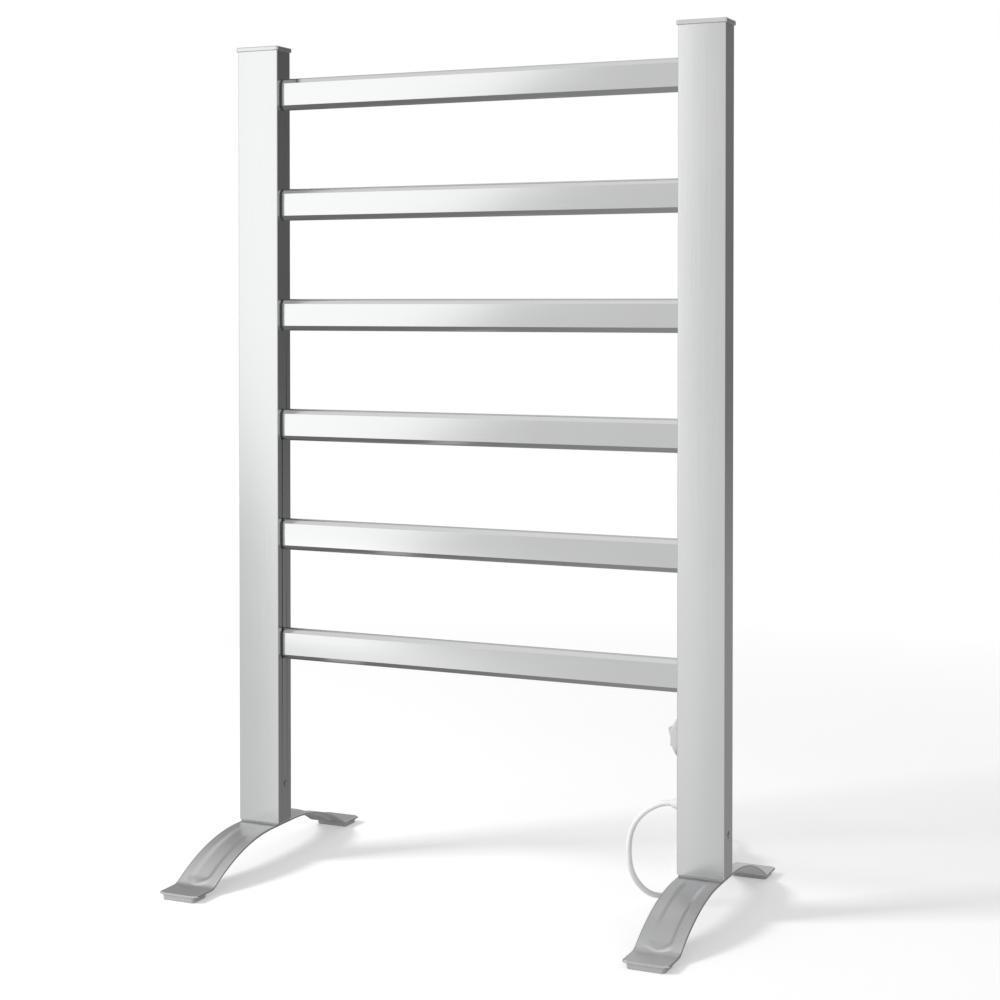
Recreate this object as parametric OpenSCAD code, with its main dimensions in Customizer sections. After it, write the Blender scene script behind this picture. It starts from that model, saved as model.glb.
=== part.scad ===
// Free-standing electric towel warmer: two upright posts on arched feet, joined by heated rungs.
// Millimetres, +Z up, front towards -Y. The origin is on the floor, midway between posts and toes.

/* [Overall] */
// Width over the outer faces of the posts
rack_w = 537; // [420:1:700]
// Height from the floor to the top of the caps
rack_h = 860; // [700:1:1100]
// Depth over the toes of the feet
foot_len = 334; // [270:1:420]

/* [Posts] */
// Size of a post across the rack
post_w = 47.5; // [40:0.5:60]
// Size of a post front to back
post_d = 27.5; // [24:0.5:36]
// Wall of the post extrusion
post_wall = 1.4; // [1:0.1:2]
// Radius along the post's outer edges
post_corner = 0.8; // [0.4:0.1:2]
// Height of a cap above its post
cap_h = 4.5; // [3:0.5:8]
// How far a cap stands out past the post
cap_lip = 1.5; // [0.5:0.1:3]
// Depth of a cap's skirt inside its post
cap_skirt = 12; // [8:1:20]

/* [Rungs] */
// Height of a rung
rung_h = 33.3; // [28:0.1:40]
// Height of a rung's flat front face
rung_face = 23; // [18:0.5:26]
// Depth of a rung front to back
rung_d = 12; // [10:0.5:16]
// Wall of the rung extrusion
rung_wall = 1.2; // [0.8:0.1:1.8]
// Distance from the top of the rack to the middle of the top rung
top_rung_drop = 50.5; // [40:0.5:80]
// Height of the middle of the lowest rung
low_rung_z = 231.5; // [222:0.5:300]

/* [Rung end fittings] */
// Thickness of the spacer between a rung and its post
spacer_t = 1.8; // [1:0.1:4]
// How far a fitting reaches into its rung
tenon_len = 14; // [8:1:25]
// How far a fitting reaches past the post's wall
boss_len = 6; // [4:0.5:8]
// Wall of a fitting
fitting_wall = 1.3; // [1:0.1:2]
// Thickness of the clip that locks a fitting
clip_t = 1.2; // [0.8:0.1:2]

/* [Feet] */
// Width of a foot
foot_w = 45; // [40:0.5:55]
// Height of the top of a foot
foot_top = 40.7; // [34:0.5:55]
// Height of the top of a toe
toe_top = 7.4; // [6:0.2:10]
// Length of the flat toe
toe_len = 31; // [24:1:40]
// Half length of the flat under the post
foot_flat = 22; // [18:1:30]
// Thickness of the foot's steel
foot_t = 2.2; // [1.6:0.1:3]
// Width of the pressed groove
groove_w = 24; // [16:1:30]
// Depth of the pressed groove
groove_deep = 1; // [0.6:0.1:1.6]
// Thickness of the gasket between foot and post
gasket_t = 1.8; // [1:0.1:3]
// Radius of the toe's corners
toe_corner = 4; // [2:0.5:8]

/* [Foot fastening] */
// Thickness of the bracket's steel
bracket_t = 2.5; // [2:0.1:3]
// Height of the bracket
bracket_h = 52; // [48:1:60]
// Distance between the two foot bolts
bolt_gap = 13; // [11:0.5:14]
// Diameter of the foot bolts
bolt_d = 5; // [4:0.5:5.5]
// Height of the side screws above the post's bottom end
side_screw_up = 40; // [25:1:44]
// Diameter of the side screws
side_screw_d = 3.9; // [3:0.1:4.5]
// Diameter of the side screws' heads
side_screw_head = 6.6; // [5.5:0.1:8]

/* [Switch] */
// Height of the middle of the switch
switch_z = 173; // [168:1:178]
// Height of the domed bezel
bezel_h = 42; // [40:1:46]
// Width of the domed bezel
bezel_w = 24; // [22:0.5:25]
// How far the dome stands out
bezel_out = 9.5; // [9:0.1:10]
// Length of the rocker
rocker_len = 17.6; // [16:0.2:18]
// Width of the rocker
rocker_w = 11.4; // [10:0.2:11.6]
// Tilt of the rocker each side of level
rocker_tilt = 7; // [4:0.5:8]
// Diameter of the rocker's pin
rocker_pin_d = 2; // [1.6:0.1:2.4]

/* [Cord] */
// Diameter of the mains cord
cord_d = 5.6; // [5:0.1:6.4]
// Height of the middle of the cord outlet
gland_z = 107; // [100:1:110]
// Diameter of the gland's base
gland_base_d = 13.4; // [12:0.1:16]
// How far the gland stands out
gland_out = 9; // [8:0.5:12]
// How far the gland reaches inside the post
gland_in = 14; // [10:1:18]

/* [Hidden] */

$fn = 48;
silver = "silver";
rung_count = 6;
eps = 0.01;

// Clearance between pieces that slide together, and play in the rocker's pivot
slip = 0.15;
pin_play = 0.05;

// Posts
post_x = rack_w / 2 - post_w / 2;
inner_x = rack_w / 2 - post_w;
post_bottom = foot_top + gasket_t;
post_top = rack_h - cap_h;
cap_skirt_wall = 1.5;
cap_round = 1.2;

// Rungs: a flat face, a chamfer and a round crown, front and back alike
rung_pitch = (rack_h - top_rung_drop - low_rung_z) / (rung_count - 1);
rung_chamfer_d = 2.5;
rung_crown_h = 1.95;
rung_tube_len = 2 * inner_x - 2 * spacer_t;
crown_half = rung_d / 2 - rung_chamfer_d;
crown_r = (crown_half * crown_half + rung_crown_h * rung_crown_h) / (2 * rung_crown_h);
crown_mid = rung_h / 2 - crown_r;
spacer_inset = 0.4;
clip_margin = 3;

// Feet: the leg is an arc that leaves the flat top level and runs down to the toe
leg_run = foot_len / 2 - toe_len - foot_flat;
leg_drop = foot_top - toe_top;
leg_r = (leg_run * leg_run + leg_drop * leg_drop) / (2 * leg_drop);
leg_steps = 24;
groove_end = foot_len / 2 - toe_len - 2;
gasket_inset = 0.5;
pad_h = toe_top - foot_t;
pad_len = toe_len - 7;
pad_inset = 0.6;

// Fasteners
bolt_head_d = 8.5;
bolt_head_h = 3;
side_head_h = 1.6;
side_recess = 0.5;
cross_w = 1;
cross_len = 3.6;
cross_deep = 0.9;
side_z = post_bottom + side_screw_up;

// Switch, measured outwards from the right post's inner face
pivot_out = 5;
bezel_r = (bezel_h * bezel_h / 4 + bezel_out * bezel_out) / (2 * bezel_out);
rocker_gap = 0.3;
body_wall = 1.2;
body_w = rocker_w + 2 * (rocker_gap + body_wall);
body_len = 20;
body_in = 18;
body_out = 5.2;
ear_out = 7.2;
ear_half = 3.5;
rocker_end_out = 5.6;
rocker_mid_out = 4.4;
rocker_back = 2.5;
blade_len = 8;
blade_w = 4.8;
blade_t = 0.8;
blade_pitch = 6;

// Gland and the cord's stretch inside the post
gland_tip_d = 8;
gland_neck_d = 10;
gland_nut_d = 17;
gland_nut_t = 4;
inner_cord_end = 17;

// Wiring inside the posts and rungs
wire_d = 3.6;
wire_bend = 7;
wire_end = 10;
lead_d = 2.4;
lead_sides = 8;
lead_aside = 9.8;
supply_x = 34;
cutout_d = 7;
cutout_len = 18;
cutout_z = 192;
block_w = 12;
block_d = 22;
block_h = 16;
block_x = 19;
block_z = 140;
cores_d = 4;
earth_x = 11;
earth_d = 3.9;

// Cord: the route from the gland's tip, x from the tip, y from the middle of the post, z from the floor
cord_r = cord_d / 2;
cord_sides = 10;
gland_tip_x = inner_x - gland_out;
cord_route = [
    [0, 0, gland_z], [-5, 0, gland_z], [-13, 0, 105], [-22.5, 0, 100], [-31.5, 0, 93], [-39, 0, 83.5],
    [-43.5, 0, 72], [-45, 0, 60], [-45, 1, 48], [-44, 4, 36], [-41, 9, 25], [-36, 16, 15], [-30, 25, 7.5],
    [-23, 36, 4], [-16, 48, cord_r], [-10.5, 62, cord_r], [-9, 77, cord_r], [-12, 92, cord_r],
    [-18, 106, cord_r], [-26, 120, cord_r], [-33.5, 133, cord_r], [-40, 146, cord_r]
];

// Hank: two loops side by side and two deep, tied round the middle, on the floor behind the post
hank_bend = 3 * cord_d;
hank_run = 90;
hank_w = 2 * hank_bend + 3 * cord_d;
hank_h = 2 * cord_d;
hank_turn = 18.7;
hank_at = [-33.5, 195.5];
tie_t = 0.6;
tie_w = 9;

// Plug: lies on the hank, in line with it; its tail is the last stretch of the cord
plug_r = 18;
plug_half = 13;
plug_front = 18;
plug_neck = 20;
plug_neck_r = 8;
plug_relief = 26;
plug_at = -34;
plug_side = hank_bend - cord_d;
pin_r = 2.4;
pin_len = 19;
pin_pitch = 19;

// The cord's last stretch, from the strain relief round the hank's far end, in the hank's own frame
tail_route = [
    [plug_side, 30, 24.2], [plug_side, 37, 24.2], [plug_side, 45, 23.6], [7.5, 55.5, 21.5], [0, 61, 18.5],
    [-9.5, 61.5, 15], [-18, 56.5, 11.5], [-22, 49, 9.2], [-22.4, 41, 8.4]
];

function rung_z(i) = rack_h - top_rung_drop - (i - 1) * rung_pitch;

// Points of the foot's side outline from the middle to the toe, off millimetres outside its top face
function leg_line(off) =
    let (r = leg_r + off, end = acos((toe_top - foot_top + leg_r + off) / r))
    concat(
        [for (k = [0:leg_steps])
            [foot_flat + r * sin(end * k / leg_steps), foot_top - leg_r + r * cos(end * k / leg_steps)]],
        [[foot_len / 2, toe_top + off]]);
function mirrored(points) = [for (p = points) [-p[0], p[1]]];
function reversed(points) = [for (k = [len(points) - 1:-1:0]) points[k]];

// Rings of a tube of radius r swept along a route; each ring stands square to the route
function unit(v) = v / norm(v);
function heading(route, k) =
    unit(route[min(k + 1, len(route) - 1)] - route[max(k - 1, 0)]);
function ring(route, k, r, sides) =
    let (t = heading(route, k), u = unit(cross(abs(t[0]) < 0.8 ? [1, 0, 0] : [0, 1, 0], t)), v = cross(t, u))
    [for (s = [0:sides - 1]) route[k] + r * (cos(360 * s / sides) * u + sin(360 * s / sides) * v)];

module swept_tube(route, r, sides) {
    rings = len(route);
    points = [for (k = [0:rings - 1]) each ring(route, k, r, sides)];
    walls = [for (k = [0:rings - 2], s = [0:sides - 1])
        let (a = k * sides + s, b = k * sides + (s + 1) % sides)
        each [[a, b, b + sides], [a, b + sides, a + sides]]];
    start = [[for (s = [sides - 1:-1:0]) s]];
    end = [[for (s = [0:sides - 1]) (rings - 1) * sides + s]];
    polyhedron(points, concat(start, walls, end), convexity = 10);
}

// A shape drawn in Y and Z, extruded across the rack
module along_x(length, centred = true) {
    rotate([90, 0, 90]) linear_extrude(length, center = centred) children();
}

module rounded_rect(w, d, r) {
    square([w - 2 * r, d], center = true);
    square([w, d - 2 * r], center = true);
    for (x = [-1, 1], y = [-1, 1])
        translate([x * (w / 2 - r), y * (d / 2 - r)]) circle(r);
}

// The rung's section, inset all round by s
module rung_section(s = 0) {
    half_d = rung_d / 2 - s;
    shoulder = [crown_half, rung_h / 2 - rung_crown_h];
    centre = [0, crown_mid];
    corner = centre + (crown_r - s) * unit(shoulder - centre);
    slope = unit([shoulder[1] - rung_face / 2, rung_chamfer_d]);
    reach = slope[0] * rung_d / 2 + slope[1] * rung_face / 2 - s;
    face = (reach - slope[0] * half_d) / slope[1];
    polygon([[-half_d, -face], [-corner[0], -corner[1]], [corner[0], -corner[1]], [half_d, -face],
             [half_d, face], [corner[0], corner[1]], [-corner[0], corner[1]], [-half_d, face]]);
    for (side = [-1, 1])
        translate([0, side * crown_mid]) circle(crown_r - s);
}

module post(side) {
    color(silver) difference() {
        translate([side * post_x, 0, post_bottom]) linear_extrude(post_top - post_bottom) difference() {
            rounded_rect(post_w, post_d, post_corner);
            square([post_w - 2 * post_wall, post_d - 2 * post_wall], center = true);
        }
        for (i = [1:rung_count])
            translate([side * (inner_x + post_wall / 2), 0, rung_z(i)])
                along_x(post_wall + 1) rung_section(rung_wall);
        for (face = [-1, 1])
            translate([side * post_x + face * (post_w / 2 - post_wall / 2), 0, side_z])
                rotate([0, 90, 0]) cylinder(h = post_wall + 1, d = side_screw_head + 2 * slip, center = true);
        if (side > 0) {
            translate([inner_x - 0.5, -body_w / 2 - slip, switch_z - body_len / 2 - slip])
                cube([post_wall + 1, body_w + 2 * slip, body_len + 2 * slip]);
            translate([inner_x - 0.5, 0, gland_z])
                rotate([0, 90, 0]) cylinder(h = post_wall + 1, d = gland_neck_d + 2 * slip);
        }
    }
}

module rung(i) {
    color(silver) translate([0, 0, rung_z(i)]) along_x(rung_tube_len) difference() {
        rung_section();
        rung_section(rung_wall);
    }
}

// Hollow plastic piece: tenon in the rung, spacer against the post, boss through the post's wall
module rung_fitting(side, i) {
    total = tenon_len + spacer_t + post_wall + boss_len;
    color("dimgray") translate([side * inner_x, 0, rung_z(i)]) mirror([side > 0 ? 0 : 1, 0, 0]) difference() {
        union() {
            translate([-spacer_t - tenon_len, 0, 0]) along_x(total, false) rung_section(rung_wall + slip);
            translate([-spacer_t, 0, 0]) along_x(spacer_t, false) rung_section(spacer_inset);
        }
        translate([-spacer_t - tenon_len - 1, 0, 0])
            along_x(total + 2, false) rung_section(rung_wall + slip + fitting_wall);
    }
}

// Flat spring plate pushed over the boss, tight against the inside of the post's wall
module fitting_clip(side, i) {
    color("dimgray") translate([side * (inner_x + post_wall + clip_t / 2), 0, rung_z(i)]) along_x(clip_t)
        difference() {
            square([post_d - 2 * post_wall - 1, rung_h + 2 * clip_margin], center = true);
            rung_section(rung_wall + slip);
        }
}

module cap(side) {
    color("lightgray") translate([side * post_x, 0, post_top]) {
        linear_extrude(cap_h - cap_round)
            rounded_rect(post_w + 2 * cap_lip, post_d + 2 * cap_lip, post_corner + cap_lip);
        translate([0, 0, cap_h - cap_round]) linear_extrude(cap_round)
            rounded_rect(
                post_w + 2 * cap_lip - cap_round, post_d + 2 * cap_lip - cap_round, post_corner + cap_lip);
        translate([0, 0, -cap_skirt]) linear_extrude(cap_skirt) difference() {
            square([post_w - 2 * (post_wall + slip), post_d - 2 * (post_wall + slip)], center = true);
            square([post_w - 2 * (post_wall + slip + cap_skirt_wall),
                    post_d - 2 * (post_wall + slip + cap_skirt_wall)], center = true);
        }
    }
}

// A layer of the foot between two offsets from its top face
module foot_layer(upper, lower, width) {
    top = leg_line(upper);
    bottom = leg_line(lower);
    along_x(width) polygon(concat(top, reversed(bottom), mirrored(bottom), reversed(mirrored(top))));
}

module groove_plan(width) {
    linear_extrude(foot_top + 5) {
        square([width, 2 * groove_end - width], center = true);
        for (end = [-1, 1])
            translate([0, end * (groove_end - width / 2)]) circle(width / 2);
    }
}

module foot(side) {
    color(silver) translate([side * post_x, 0, 0]) difference() {
        union() {
            intersection() {
                foot_layer(0, -foot_t, foot_w);
                linear_extrude(foot_top + 5) rounded_rect(foot_w, foot_len, toe_corner);
            }
            intersection() {
                foot_layer(-foot_t, -foot_t - groove_deep, foot_w);
                groove_plan(groove_w);
            }
        }
        intersection() {
            foot_layer(2, -groove_deep, foot_w);
            groove_plan(groove_w - foot_t);
        }
        bolt_holes(bolt_d + 2 * slip, 0, foot_top + 1);
    }
}

module bolt_holes(d, bottom, top) {
    for (y = [-bolt_gap / 2, bolt_gap / 2])
        translate([0, y, bottom]) cylinder(h = top - bottom, d = d);
}

module foot_gasket(side) {
    color("dimgray") translate([side * post_x, 0, 0]) difference() {
        translate([0, 0, foot_top]) linear_extrude(gasket_t)
            rounded_rect(foot_w, post_d - 2 * gasket_inset, post_corner);
        bolt_holes(bolt_d + 2 * slip, foot_top - 1, foot_top + gasket_t + 1);
    }
}

// Steel channel inside the post: the foot bolts thread into its floor and the side screws into its cheeks
module foot_bracket(side) {
    w = post_w - 2 * (post_wall + slip);
    d = post_d - 2 * (post_wall + slip) - 1;
    color("gray") translate([side * post_x, 0, post_bottom]) difference() {
        translate([-w / 2, -d / 2, 0]) cube([w, d, bracket_h]);
        translate([-w / 2 + bracket_t, -d / 2 - 1, bracket_t]) cube([w - 2 * bracket_t, d + 2, bracket_h]);
        bolt_holes(bolt_d, -1, bracket_t + 1);
        translate([inner_x + earth_x - post_x, 0, -1]) cylinder(h = bracket_t + 2, d = earth_d);
        translate([0, 0, side_screw_up]) rotate([0, 90, 0])
            cylinder(h = w + 2, d = side_screw_d, center = true);
    }
}

module foot_bolts(side) {
    groove_floor = foot_top - foot_t - groove_deep;
    color("gray") translate([side * post_x, 0, 0]) difference() {
        union() {
            bolt_holes(bolt_d, groove_floor - eps, post_bottom + bracket_t + 4);
            bolt_holes(bolt_head_d, groove_floor - bolt_head_h, groove_floor);
        }
        for (y = [-bolt_gap / 2, bolt_gap / 2])
            translate([0, y, groove_floor - bolt_head_h - eps]) cylinder(h = 2, d = 4.6, $fn = 6);
    }
}

module side_screws(side) {
    seat = post_w / 2 - post_wall - slip;
    color("gray") translate([side * post_x, 0, side_z]) for (face = [0, 180])
        rotate([0, 0, face]) difference() {
            union() {
                translate([seat, 0, 0]) rotate([0, 90, 0])
                    cylinder(h = post_w / 2 - side_recess - seat, d = side_screw_head);
                translate([seat - bracket_t - 3, 0, 0]) rotate([0, 90, 0])
                    cylinder(h = bracket_t + 3 + eps, d = side_screw_d);
            }
            for (turn = [0, 90])
                translate([post_w / 2 - side_recess, 0, 0]) rotate([turn, 0, 0])
                    cube([2 * cross_deep, cross_w, cross_len], center = true);
        }
}

module toe_pad(side, end) {
    color("white") translate([side * post_x, end * (foot_len / 2 - pad_inset - pad_len / 2), 0])
        linear_extrude(pad_h) rounded_rect(foot_w - 2 * pad_inset, pad_len, toe_corner - pad_inset);
}

// Everything on the switch is drawn with the pivot height at the origin and the room at -X
module on_switch() {
    translate([inner_x, 0, switch_z]) children();
}

module switch_bezel() {
    opening_w = rocker_w + 1.7 * rocker_gap;
    opening_h = rocker_len + 1.9;
    color("lightgray") on_switch() difference() {
        intersection() {
            translate([-bezel_out - 1, 0, 0]) along_x(bezel_out + 1, false) {
                square([bezel_w, bezel_h - bezel_w], center = true);
                for (end = [-1, 1])
                    translate([0, end * (bezel_h - bezel_w) / 2]) circle(bezel_w / 2);
            }
            translate([bezel_r - bezel_out, 0, 0]) sphere(bezel_r, $fn = 96);
        }
        translate([-body_out - 2 * slip, -body_w / 2 - slip, -body_len / 2 - slip])
            cube([body_out + 1, body_w + 2 * slip, body_len + 2 * slip]);
        translate([-ear_out - 2 * slip, -body_w / 2 - slip, -ear_half - slip])
            cube([ear_out, body_w + 2 * slip, 2 * (ear_half + slip)]);
        translate([-bezel_out - 2, -opening_w / 2, -opening_h / 2])
            cube([bezel_out + 2, opening_w, opening_h]);
    }
}

module switch_body() {
    pocket_w = rocker_w + 2 * rocker_gap;
    pocket_half = rocker_len / 2;
    color("dimgray") on_switch() difference() {
        union() {
            translate([-body_out, -body_w / 2, -body_len / 2]) cube([body_out + body_in, body_w, body_len]);
            translate([-ear_out, -body_w / 2, -ear_half]) cube([ear_out, body_w, 2 * ear_half]);
        }
        translate([-ear_out - 1, -pocket_w / 2, -pocket_half])
            cube([ear_out + 1 - pivot_out + rocker_back + 1.5, pocket_w, 2 * pocket_half]);
        translate([-pivot_out, 0, 0]) rotate([90, 0, 0])
            cylinder(h = body_w + 2, d = rocker_pin_d, center = true);
    }
}

// At rest the lower end is pressed in
module switch_rocker() {
    half = rocker_len / 2;
    color("gainsboro") on_switch() translate([-pivot_out, 0, 0]) rotate([0, -rocker_tilt, 0])
        rotate([90, 0, 0]) linear_extrude(rocker_w, center = true) difference() {
            polygon([[-rocker_end_out, half], [-rocker_mid_out, 0], [-rocker_end_out, -half],
                     [0.5, 0.6 - half], [rocker_back, -3], [rocker_back, 3], [0.5, half - 0.6]]);
            circle(rocker_pin_d / 2 + pin_play);
        }
}

module rocker_pin() {
    color("gray") on_switch() translate([-pivot_out, 0, 0]) rotate([90, 0, 0])
        cylinder(h = body_w, d = rocker_pin_d, center = true);
}

module switch_terminals() {
    color("goldenrod") on_switch() for (z = [-blade_pitch / 2, blade_pitch / 2])
        translate([body_in, -blade_w / 2, z - blade_t / 2]) cube([blade_len, blade_w, blade_t]);
}

// Everything on the outlet is drawn with the cord's axis at the origin and the room at -X
module on_gland() {
    translate([inner_x, 0, gland_z]) rotate([0, 90, 0]) children();
}

module cable_gland() {
    color("white") on_gland() difference() {
        union() {
            translate([0, 0, -gland_out]) cylinder(h = gland_out, d1 = gland_tip_d, d2 = gland_base_d);
            cylinder(h = gland_in, d = gland_neck_d);
        }
        translate([0, 0, -gland_out - 1]) cylinder(h = gland_out + gland_in + 2, d = cord_d);
    }
}

module gland_nut() {
    color("white") on_gland() translate([0, 0, post_wall]) difference() {
        cylinder(h = gland_nut_t, d = gland_nut_d, $fn = 6);
        translate([0, 0, -1]) cylinder(h = gland_nut_t + 2, d = gland_neck_d, $fn = 48);
    }
}

module inner_cord() {
    color("white") on_gland() translate([0, 0, -gland_out])
        cylinder(h = gland_out + inner_cord_end, d = cord_d);
}

// Pieces on the cord are placed from the gland's tip
module cord_place() {
    translate([gland_tip_x, 0, 0]) children();
}

// The hank's own frame: its length along +Y, turned to lie behind the post
module hank_place() {
    cord_place() translate([hank_at[0], hank_at[1], 0]) rotate([0, 0, hank_turn]) children();
}

module cord() {
    color("white") cord_place() swept_tube(cord_route, cord_r, cord_sides);
}

module hank_outline(grow) {
    square([hank_w + 2 * grow, hank_run], center = true);
    for (end = [-1, 1])
        translate([0, end * hank_run / 2]) circle(hank_w / 2 + grow);
}

module cord_hank() {
    color("white") hank_place() difference() {
        linear_extrude(hank_h) hank_outline(0);
        translate([-hank_w, -tie_w / 2, -1]) cube([2 * hank_w, tie_w, 1 + tie_t]);
    }
}

module hank_tie() {
    color("white") hank_place() translate([0, tie_w / 2 - slip, 0]) rotate([90, 0, 0])
        linear_extrude(tie_w - 2 * slip) difference() {
            translate([-hank_w / 2 - tie_t, 0]) square([hank_w + 2 * tie_t, hank_h + tie_t]);
            translate([-hank_w / 2, tie_t]) square([hank_w, hank_h - tie_t]);
        }
}

// The plug's own frame: cord end at +Y, pins at -Y, lying on the tied hank
module plug_place() {
    hank_place() translate([plug_side, plug_at, hank_h + plug_half]) rotate([-90, 0, 0]) children();
}

module plug_body() {
    color("white") plug_place() intersection() {
        union() {
            cylinder(h = plug_front, r = plug_r);
            translate([0, 0, plug_front]) cylinder(h = plug_neck, r1 = plug_r - 2, r2 = plug_neck_r);
        }
        translate([-plug_r, -plug_half, 0]) cube([2 * plug_r, 2 * plug_half, plug_front + plug_neck]);
    }
}

module plug_pins() {
    color("silver") plug_place() for (x = [-pin_pitch / 2, pin_pitch / 2])
        translate([x, 0, -pin_len]) cylinder(h = pin_len, r = pin_r);
}

module plug_strain_relief() {
    color("white") plug_place() translate([0, 0, plug_front + plug_neck])
        cylinder(h = plug_relief, r1 = plug_neck_r - 2, r2 = cord_r + 0.8);
}

module cord_tail() {
    color("white") hank_place() swept_tube(tail_route, cord_r, cord_sides);
}

// Quarter bend in the XZ plane, from travel along +X at the origin to travel down
module wire_bend_down(bend, d) {
    translate([0, 0, -bend]) rotate([90, 0, 0]) rotate_extrude(angle = 90) translate([bend, 0]) circle(d = d);
}

module heating_wire(i) {
    color("firebrick") translate([0, 0, rung_z(i)]) rotate([0, 90, 0])
        cylinder(h = 2 * (inner_x + wire_end), d = wire_d, center = true);
}

// Joins the ends of heating wires i and i + 1 inside a post
module wire_link(side, i) {
    color("firebrick") mirror([side > 0 ? 0 : 1, 0, 0]) translate([inner_x + wire_end, 0, 0]) {
        translate([0, 0, rung_z(i)]) wire_bend_down(wire_bend, wire_d);
        translate([0, 0, rung_z(i + 1)]) mirror([0, 0, 1]) wire_bend_down(wire_bend, wire_d);
        translate([wire_bend, 0, rung_z(i + 1) + wire_bend])
            cylinder(h = rung_pitch - 2 * wire_bend, d = wire_d);
    }
}

// A lead inside the right post; its route is measured from the post's inner face
module post_lead(route, d) {
    color("firebrick") translate([inner_x, 0, 0]) swept_tube(route, d / 2, lead_sides);
}

// From the top rung's wire down the post to the thermal cut-out
module supply_lead() {
    top = rung_z(1);
    post_lead([
        [wire_end, 0, top], [supply_x - 10, 0, top], [supply_x - 4, 0, top - 1.5], [supply_x - 1, 0, top - 5],
        [supply_x, 0, top - 10], [supply_x, 0, cutout_z + cutout_len]], lead_d);
}

module thermal_cutout() {
    color("whitesmoke") translate([inner_x + supply_x, 0, cutout_z]) cylinder(h = cutout_len, d = cutout_d);
}

// From the cut-out down to the switch's upper terminal
module switch_lead() {
    blade_z = switch_z + blade_pitch / 2;
    post_lead([
        [supply_x, 0, cutout_z], [supply_x, 0, blade_z + 14], [supply_x - 0.8, 0, blade_z + 8],
        [supply_x - 2.5, 0, blade_z + 3.5], [supply_x - 4.5, 0, blade_z + 1],
        [body_in + blade_len + 1, 0, blade_z], [body_in + blade_len, 0, blade_z]], lead_d);
}

// From the terminal block up to the switch's lower terminal
module live_lead() {
    color("firebrick") translate([inner_x + block_x + 3, 0, block_z + block_h / 2])
        cylinder(h = switch_z - blade_pitch / 2 - blade_t / 2 - block_z - block_h / 2, d = lead_d);
}

// From the lowest rung's wire, past the switch, down to the terminal block
module return_lead() {
    start = rung_z(rung_count);
    post_lead([
        [wire_end, 0, start], [wire_end + 1.5, 0, start], [wire_end + 4, 1, start - 0.5],
        [wire_end + 6, 3.5, start - 2.5],
        [wire_end + 7, 6.5, start - 6], [wire_end + 7, lead_aside, start - 12],
        [wire_end + 7, lead_aside, block_z + block_h / 2]], lead_d);
}

module terminal_block() {
    color("whitesmoke") translate([inner_x + block_x, 0, block_z])
        cube([block_w, block_d, block_h], center = true);
}

// The cord's three cores, from the end of its sheath to the terminal block
module cord_cores() {
    end = block_z - block_h / 2;
    post_lead([
        [inner_cord_end, 0, gland_z], [inner_cord_end + 2, 0, gland_z],
        [inner_cord_end + 5, 0, gland_z + 1.5], [inner_cord_end + 6.5, 0, gland_z + 5],
        [inner_cord_end + 5.5, 0, gland_z + 11], [block_x + 1, 0, end - 6],
        [block_x, 0, end - 2], [block_x, 0, end]], cores_d);
}

module earth_screw() {
    top = post_bottom + bracket_t;
    color("goldenrod") translate([inner_x + earth_x, 0, 0]) {
        translate([0, 0, post_bottom]) cylinder(h = bracket_t + eps, d = earth_d);
        translate([0, 0, top]) cylinder(h = 2.4, d = 2 * earth_d);
    }
}

// From the terminal block down to the earth screw on the bracket's floor
module earth_lead() {
    top = post_bottom + bracket_t + 2.4;
    post_lead([
        [block_x, -lead_aside, block_z - block_h / 2], [block_x, -lead_aside, top + 22],
        [block_x - 1, -lead_aside + 1, top + 15], [block_x - 3.5, -lead_aside + 4, top + 8],
        [earth_x + 1, -1.5, top + 5], [earth_x, 0, top + 1.5], [earth_x, 0, top]], lead_d);
}

post(-1);  // left_post
post(1);  // right_post
for (i = [1:rung_count])
    rung(i);
for (i = [1:rung_count]) rung_fitting(-1, i);  // left_rung_fittings
for (i = [1:rung_count]) rung_fitting(1, i);  // right_rung_fittings
for (i = [1:rung_count]) fitting_clip(-1, i);  // left_fitting_clips
for (i = [1:rung_count]) fitting_clip(1, i);  // right_fitting_clips
cap(-1);  // left_cap
cap(1);  // right_cap
foot(-1);  // left_foot
foot(1);  // right_foot
foot_gasket(-1);  // left_foot_gasket
foot_gasket(1);  // right_foot_gasket
foot_bracket(-1);  // left_foot_bracket
foot_bracket(1);  // right_foot_bracket
foot_bolts(-1);  // left_foot_bolts
foot_bolts(1);  // right_foot_bolts
side_screws(-1);  // left_side_screws
side_screws(1);  // right_side_screws
toe_pad(-1, -1);  // left_front_pad
toe_pad(-1, 1);  // left_rear_pad
toe_pad(1, -1);  // right_front_pad
toe_pad(1, 1);  // right_rear_pad
switch_bezel();
switch_body();
switch_rocker();
rocker_pin();
switch_terminals();
cable_gland();
gland_nut();
inner_cord();
cord_cores();
cord();
cord_hank();
hank_tie();
cord_tail();
plug_body();
plug_pins();
plug_strain_relief();
for (i = [1:rung_count])
    heating_wire(i);
for (i = [1:2:rung_count - 1]) wire_link(-1, i);  // left_wire_links
for (i = [2:2:rung_count - 2]) wire_link(1, i);  // right_wire_links
supply_lead();
thermal_cutout();
switch_lead();
live_lead();
return_lead();
terminal_block();
earth_screw();
earth_lead();
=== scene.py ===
"""Looks of the free-standing towel warmer: satin aluminium posts and rungs on pressed metal feet."""
import math

import bmesh
import bpy
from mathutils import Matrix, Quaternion, Vector


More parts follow.
